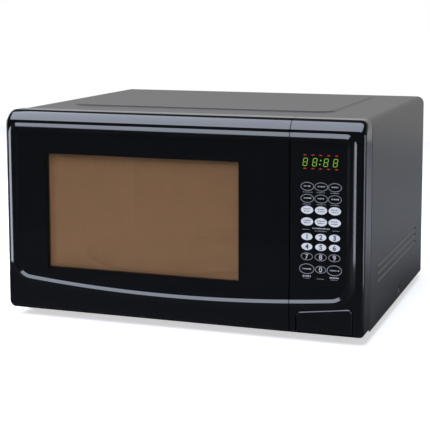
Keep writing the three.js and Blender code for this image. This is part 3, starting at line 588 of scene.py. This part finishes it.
door_skin = surface("door_skin", strip(-1, DOOR_X, front_rings(-1, DOOR_X) + bead_rings()),
                    "door", black_moulding)
panel_all = half_path(outer_ring(0.0), 1, PANEL_X)
above_button = np.flatnonzero((panel_all[:, 1] > 60))
panel_edge = surface("panel_edge_skin",
                     strip(1, PANEL_X, front_rings(1, PANEL_X) + bead_rings()[:1], above_button),
                     "cabinet", black_moulding, flip=True)
panel_bead = surface("panel_bead_skin", strip(1, PANEL_X, bead_rings()), "cabinet",
                     black_moulding, flip=True)

# %% [markdown]
# ## The wrapper
# One sheet of steel is bent over the top and down both sides. A shallow tray is pressed into the
# top to stop it drumming, three grooves stiffen each side, and a screw sits in a dimple near the
# bottom. A pressed shape is a height added to a flat sheet, so the surface is the wrapper's
# section carried from front to back, moved along its normal by a sum of smooth steps.

# %% Smooth steps and the pressed shapes
def step(value, start, end):
    """Goes smoothly from 0 at start to 1 at end: 3t^2 - 2t^3."""
    t = np.clip((value - start) / (end - start), 0, 1)
    return t * t * (3 - 2 * t)


def tray_height(x, y):
    """The raised panel: 1.5 mm, falling over 4 mm at a rounded rectangle's edge."""
    dx = np.abs(x + 12.5) - (187.5 - 25)
    dy = np.abs(y - 41.5) - (138.5 - 25)
    outside = np.hypot(np.maximum(dx, 0), np.maximum(dy, 0)) + np.minimum(np.maximum(dx, dy), 0) - 25
    return 1.5 * step(-outside, 0, 4.5)


def side_press(y, z):
    """Grooves 1.4 mm deep and 5 mm wide with sloped walls, and the dimple round the screw."""
    depth = np.zeros(np.broadcast(y, z).shape)
    ends = step(y, -118, -115) * (1 - step(y, 145, 148))
    for centre in (86.5, 77.0, 67.0):
        depth = np.maximum(depth, 1.4 * ends * (1 - step(np.abs(z - centre), 0.7, 2.6)))
    around = np.hypot(y - 27.5, z - 21)
    return np.maximum(depth, 2.0 * (1 - step(around, 5.2, 6.4)))


# %% The wrapper's surface
near_screw = np.arange(18.5, 37, 0.9)
ys = np.unique(np.round(np.concatenate([
    np.linspace(-163.2, 197.3, 90), np.arange(-119, -113, 0.75), np.arange(144, 149.5, 0.75), near_screw,
    np.arange(-98, -90, 1.0), np.arange(173, 181, 1.0),
    np.arange(-90, -70, 2.5), np.arange(153, 173, 2.5)]), 3))
side_z = np.unique(np.round(np.concatenate([
    np.linspace(12.5, 64, 12), np.arange(13, 29, 0.9), np.arange(63, 91, 0.6), np.linspace(91, 266, 14)]), 3))
top_x = np.unique(np.round(np.concatenate([
    np.linspace(-231.5, 231.5, 48), np.arange(-201, -193, 1.0), np.arange(168, 176, 1.0),
    np.arange(-193, -172, 2.5), np.arange(148, 168, 2.5)]), 3))
turn = np.radians(np.linspace(0, 90, 14))[1:-1]
profile = np.concatenate([
    np.stack([np.full_like(side_z, -240.5), side_z], -1),
    np.stack([-231.5 - 9 * np.cos(turn), 266 + 9 * np.sin(turn)], -1),
    np.stack([top_x, np.full_like(top_x, 275.0)], -1),
    np.stack([231.5 + 9 * np.sin(turn), 266 + 9 * np.cos(turn)], -1),
    np.stack([np.full_like(side_z, 240.5), side_z[::-1]], -1)])
px, pz = profile[:, None, 0], profile[:, None, 1]
y_grid = np.broadcast_to(ys, (len(profile), len(ys)))
on_side = np.abs(px) > 240.4
inward = np.where(on_side, side_press(y_grid, pz), 0.0)
raised = np.where(pz > 274.9, tray_height(px, y_grid), 0.0)
wrapper_grid = np.stack([np.broadcast_to(px, y_grid.shape) - np.sign(px) * inward, y_grid,
                         np.broadcast_to(pz, y_grid.shape) + raised], -1)

paint = Finish("wrapper_paint")
orange = paint.noise(620, 2)
cloud = paint.noise(6, 3)
scuff = paint.noise(90, 5).ramp(0.66, 0.78)
wrapper_paint = paint.done(
    base_color=paint.colour(cloud, (0.034, 0.031, 0.028), (0.042, 0.039, 0.035)),
    roughness=orange * 0.1 + scuff * 0.06 + 0.3, normal=paint.bump(orange, 0.00006, 0.5))
wrapper = surface("pressed_wrapper", wrapper_grid, "cabinet", wrapper_paint, flip=True)
wall = wrapper.modifiers.new("sheet_thickness", "SOLIDIFY")
wall.thickness, wall.offset = 0.9 * MM, -1
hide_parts("outer_case")

# %% [markdown]
# ## Lit digits
# The clock is a green segment display. Each digit has seven segments, and each segment is a bar
# with pointed ends, so all of them are one six-sided shape moved, turned and leaned over to the
# right. Above and below the digits, short red marks light up for the cooking stages.

# %% Segment display
def glow(name, colour, strength):
    """Light from behind a filter, a little uneven in fine blotches."""
    finish = Finish(name)
    flicker = finish.noise(700, 2)
    lit = finish.colour(flicker, tuple(c * 0.75 for c in colour), colour)
    return finish.done(base_color=(0.01, 0.01, 0.01), roughness=0.3, emission=lit, glow=strength)


green = glow("green_segments", (0.36, 0.8, 0.05), 0.8)
red = glow("red_marks", (1.0, 0.05, 0.03), 0.42)
HEX = np.array([[-0.5, 0], [-0.36, 0.14], [0.36, 0.14], [0.5, 0], [0.36, -0.14], [-0.36, -0.14]])


def patches(name, outlines, y, body, finish, back=0.25):
    """Flat plates: each outline becomes a front face and side walls that go `back` into the panel."""
    points, faces = [], []
    for outline in outlines:
        count, start = len(outline), len(points)
        for depth in (y, y + back):
            points += np.insert(outline, 1, depth, axis=1).tolist()
        faces.append(list(range(start, start + count)))
        faces.append(list(range(start + 2 * count - 1, start + count - 1, -1)))
        faces += [[start + i, start + count + i, start + count + (i + 1) % count, start + (i + 1) % count]
                  for i in range(count)]
    mesh = bpy.data.meshes.new(name)
    mesh.from_pydata((np.array(points) * MM).tolist(), [], faces)
    mesh.materials.append(finish)
    piece = bpy.data.objects.new(name, mesh)
    bpy.context.scene.collection.objects.link(piece)
    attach(piece, body)
    print(f"{name}: {len(outlines)} plates")
    return piece


def counter_clockwise(outline):
    """Orders an outline so that its front faces the viewer, at -Y."""
    x, z = outline[:, 0], outline[:, 1]
    area = np.sum(x * np.roll(z, -1) - np.roll(x, -1) * z)
    return outline if area > 0 else outline[::-1]


LEAN = 0.14
DISPLAY_Z = 225.8


def eight(cx, cz, width, height, thick):
    """Seven leaned bars: three across and four upright."""
    across = [(0, 0.5, 0), (0, 0, 0), (0, -0.5, 0)]
    spots = across + [(-0.5, 0.25, 1), (0.5, 0.25, 1), (-0.5, -0.25, 1), (0.5, -0.25, 1)]
    bars = []
    for sx, sz, upright in spots:
        long = (height - thick) / 2 if upright else width - thick
        bar = HEX * np.array([long * 0.96, thick * 2.9])
        if upright:
            bar = bar[:, ::-1]
        bar = bar + np.array([sx * (width - thick), sz * (height - thick)])
        bar[:, 0] += bar[:, 1] * LEAN
        bars.append(counter_clockwise(bar + np.array([cx, cz])))
    return bars


def dot(cx, cz, width, height, steps=12):
    """An ellipse."""
    angle = np.linspace(0, 2 * np.pi, steps, endpoint=False)
    return np.stack([cx + width / 2 * np.cos(angle), cz + height / 2 * np.sin(angle)], -1)


digit_bars = [bar for cx in (166.9, 178.8, 192.7, 204.4) for bar in eight(cx, DISPLAY_Z, 5.6, 10.0, 0.8)]
digit_bars += [dot(185.6 + s * 0.25, DISPLAY_Z + s, 1.5, 1.7) for s in (2.4, -2.4)]
clock = patches("clock_digits", digit_bars, FACE - 0.04, "cabinet", green)
MARKS_X = (166.4, 176.4, 186.0, 195.9, 205.8)
marks = [dot(cx, cz, 4.2, 1.4) for cx in MARKS_X for cz in (DISPLAY_Z + 8.6, DISPLAY_Z - 7.9)]
stage_marks = patches("stage_marks", marks, FACE - 0.04, "cabinet", red)

# %% [markdown]
# ## Printed keys
# The key symbols are silk-screened: pale ovals, oval outlines, digits and rows of dashes that
# stand for captions. Ink has thickness and a rough edge, so each print is a plate 0.04 mm proud, in
# an ink that is slightly uneven. Digits come from the built-in font, turned into a mesh.

# %% Ink
def ink(name, colour, rough=0.5):
    """Screen-printed ink, with the fine unevenness of the mesh it was pressed through."""
    finish = Finish(name)
    weave = (finish.x * 9000).wave() * (finish.z * 9000).wave()
    worn = finish.noise(500, 3)
    shade = tuple(c * 0.82 for c in colour)
    return finish.done(base_color=finish.colour(worn, shade, colour), roughness=worn * 0.2 + rough - 0.1,
                       normal=finish.bump(weave, 0.00001, 0.3))


pale_ink = ink("pale_ink", (0.52, 0.515, 0.51))
grey_ink = ink("grey_ink", (0.16, 0.16, 0.17))
light_ink = ink("light_ink", (0.3, 0.3, 0.3))
dark_ink = ink("dark_ink", (0.01, 0.01, 0.011))
COLUMNS = (169.7, 187.0, 204.1)


def ring_piece(name, rings, y, body, finish, line=0.9, back=0.25):
    """Oval outlines: an ellipse's edge as a band `line` wide, with walls into the panel."""
    angle = np.linspace(0, 2 * np.pi, 40, endpoint=False)
    blocks, quads = [], []
    for number, (cx, cz, width, height) in enumerate(rings):
        for grow, depth in ((0, y + back), (0, y), (-line, y), (-line, y + back)):
            a, b = width / 2 + grow, height / 2 + grow
            blocks.append(np.stack([cx + a * np.cos(angle), np.full(40, depth), cz + b * np.sin(angle)], -1))
        base = number * 160
        i = np.arange(40)
        for k in range(4):
            p, q = base + k * 40, base + ((k + 1) % 4) * 40
            quads.append(np.stack([p + i, p + (i + 1) % 40, q + (i + 1) % 40, q + i], -1))
    return mesh_piece(name, np.concatenate(blocks), np.concatenate(quads), body, finish, smooth=False)


def bar_outline(cx, cz, width, height):
    return np.array([[cx - width / 2, cz - height / 2], [cx + width / 2, cz - height / 2],
                     [cx + width / 2, cz + height / 2], [cx - width / 2, cz + height / 2]])


INK_Y = FACE - 0.05
OUTLINED, SOLID = (196.0, 181.3), (167.2, 152.8)
DIGITS, LAST = (134.2, 121.9, 109.6), 94.2
outline_keys = [(cx, cz, 16.8, 10.8) for cx in COLUMNS for cz in OUTLINED]
digit_rings = [(cx, DIGITS[2], 15.0, 9.5) for cx in COLUMNS]
big_rings = [(COLUMNS[0], LAST, 19.1, 13.1), (COLUMNS[2], LAST, 19.1, 13.1)]
solid_keys = [dot(cx, cz, 15.3, 9.9, 40) for cx in COLUMNS for cz in SOLID]
solid_digits = [dot(cx, cz, 13.8, 8.7, 40) for cx in COLUMNS for cz in DIGITS[:2]]
pieces_of_print = [
    ring_piece("key_outlines", outline_keys, INK_Y, "cabinet", grey_ink, 0.8),
    ring_piece("digit_outlines", digit_rings + [(COLUMNS[1], LAST, 13.8, 9.2)], INK_Y, "cabinet",
               grey_ink, 0.8),
    ring_piece("start_stop_outlines", big_rings, INK_Y, "cabinet", grey_ink, 0.9),
    patches("pale_keys", solid_keys + solid_digits, INK_Y, "cabinet", pale_ink)]

# %% Captions as rows of dashes
def caption(cx, cz, width, height=1.0, seed=0):
    """A line of illegible text: short upright dashes with gaps, their widths from a fixed seed."""
    rng = np.random.default_rng(seed)
    x, dashes = cx - width / 2, []
    while x < cx + width / 2 - 0.5:
        wide = rng.uniform(0.5, 1.5)
        tall = height * rng.uniform(0.7, 1.1)
        dashes.append(bar_outline(x + wide / 2, cz, wide, tall))
        x += wide + rng.choice([0.35, 0.35, 0.9])
    return dashes


grey_lines, dark_lines, light_lines = [], [], []
for number, cx in enumerate(COLUMNS):
    for cz in OUTLINED:
        light_lines += caption(cx, cz + 0.4, 8.5, 1.5, number + int(cz))
        grey_lines += caption(cx, cz - 7.0, 11.0, 1.0, number + int(cz) + 7)
    for cz in SOLID:
        dark_lines += caption(cx, cz + 1.4, 9.5, 1.3, number + int(cz))
        dark_lines += caption(cx, cz - 1.5, 8.0, 1.1, number + int(cz) + 7)
light_lines += caption(COLUMNS[1], 145.0, 21.0, 1.6, 3)
grey_lines += caption(COLUMNS[1], 141.8, 15.0, 1.1, 4)
grey_lines += [bar_outline(COLUMNS[1] + s * 18.5, 143.0, 9.0, 0.5) for s in (-1, 1)]
for number, cx in enumerate(COLUMNS):
    grey_lines += caption(cx, 82.6, 9.5, 1.0, 20 + number)
light_lines += caption(COLUMNS[0], LAST, 11.0, 1.5, 11) + caption(COLUMNS[2], LAST, 11.0, 1.5, 12)
light_lines += caption(COLUMNS[0], 85.2, 10.0, 2.0, 13) + caption(COLUMNS[2], 85.2, 11.5, 2.0, 14)
pieces_of_print += [
    patches("grey_captions", grey_lines, INK_Y, "cabinet", grey_ink),
    patches("light_captions", light_lines, INK_Y, "cabinet", light_ink),
    patches("dark_captions", dark_lines, INK_Y - 0.04, "cabinet", dark_ink)]


# %% Digits on the keys
def digits(name, places, size, y, finish):
    """Digits from the built-in font, joined into one mesh that stands on the panel."""
    points, faces = [], []
    for text, cx, cz in places:
        curve = bpy.data.curves.new("digit", "FONT")
        curve.body, curve.align_x, curve.align_y, curve.extrude = text, "CENTER", "CENTER", 0.02
        curve.offset = 0.025
        holder = bpy.data.objects.new("digit", curve)
        bpy.context.scene.collection.objects.link(holder)
        flat = bpy.data.meshes.new_from_object(holder.evaluated_get(bpy.context.evaluated_depsgraph_get()))
        xyz = np.empty(len(flat.vertices) * 3)
        flat.vertices.foreach_get("co", xyz)
        xyz = xyz.reshape(-1, 3)
        middle = (xyz.min(0) + xyz.max(0)) / 2
        start = len(points)
        local = (xyz - middle) * size
        points += np.stack([cx + local[:, 0], y - local[:, 2] * 0.1, cz + local[:, 1]], -1).tolist()
        faces += [[start + i for i in face.vertices] for face in flat.polygons]
        bpy.data.objects.remove(holder)
        bpy.data.meshes.remove(flat)
        bpy.data.curves.remove(curve)
    mesh = bpy.data.meshes.new(name)
    mesh.from_pydata((np.array(points) * MM).tolist(), [], faces)
    mesh.materials.append(finish)
    piece = bpy.data.objects.new(name, mesh)
    bpy.context.scene.collection.objects.link(piece)
    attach(piece, "cabinet")
    print(name, len(points), "points")
    return piece


keys = [(str(3 * row + column + 1), COLUMNS[column], DIGITS[row])
        for row in range(3) for column in range(3)]
pieces_of_print += [
    digits("dark_digits", keys[:6], 8.6, INK_Y - 0.08, dark_ink),
    digits("light_digits", keys[6:] + [("0", COLUMNS[1], LAST)], 8.6, INK_Y - 0.02, light_ink)]

# %% [markdown]
# ## Finish
# The box round every shown piece, leaving out the floor, is printed at the end.

# %% Sizes and finish
low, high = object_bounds()
print("visual box", [round(v, 4) for v in low], [round(v, 4) for v in high])
